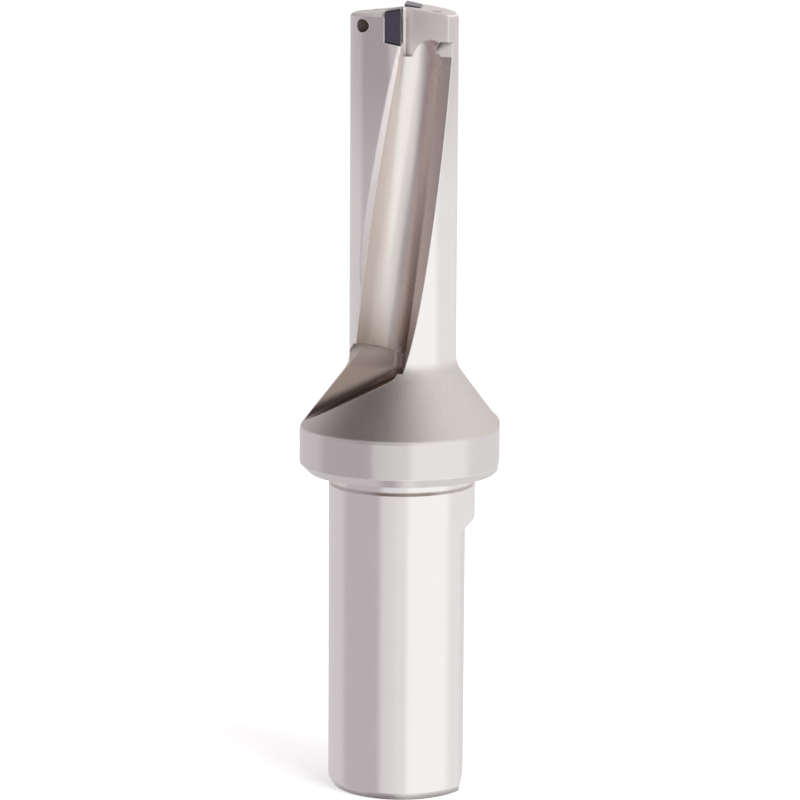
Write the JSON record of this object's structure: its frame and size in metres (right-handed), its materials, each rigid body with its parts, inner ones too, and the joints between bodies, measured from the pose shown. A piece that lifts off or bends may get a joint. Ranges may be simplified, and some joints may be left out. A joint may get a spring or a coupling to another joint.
{
  "type": "indexable drill",
  "caption": "Indexable drill with a straight shank and clamping flat, a flange, a cone, helical chip flutes and screwed square inserts at the tip.",
  "frame": {"origin": "centre of the shank's end face, on the drill's axis", "axes": "+Z along the axis towards the tip, +X square to the shank's clamping flat and to the insert's rake face, -Y towards the viewer of the picture"},
  "size_m": [0.0339, 0.035, 0.1344],
  "materials": {
    "body_steel": "satin nickel-like steel, turned, milled and lightly blasted",
    "insert_coating": "dark violet-grey hard coating on carbide",
    "screw_steel": "dark satin steel"
  },
  "bodies": {
    "root": {"drill_body": "body_steel", "peripheral_insert": "insert_coating", "central_insert": "insert_coating", "peripheral_insert_screw": "screw_steel", "central_insert_screw": "screw_steel"}
  },
  "joints": []
}
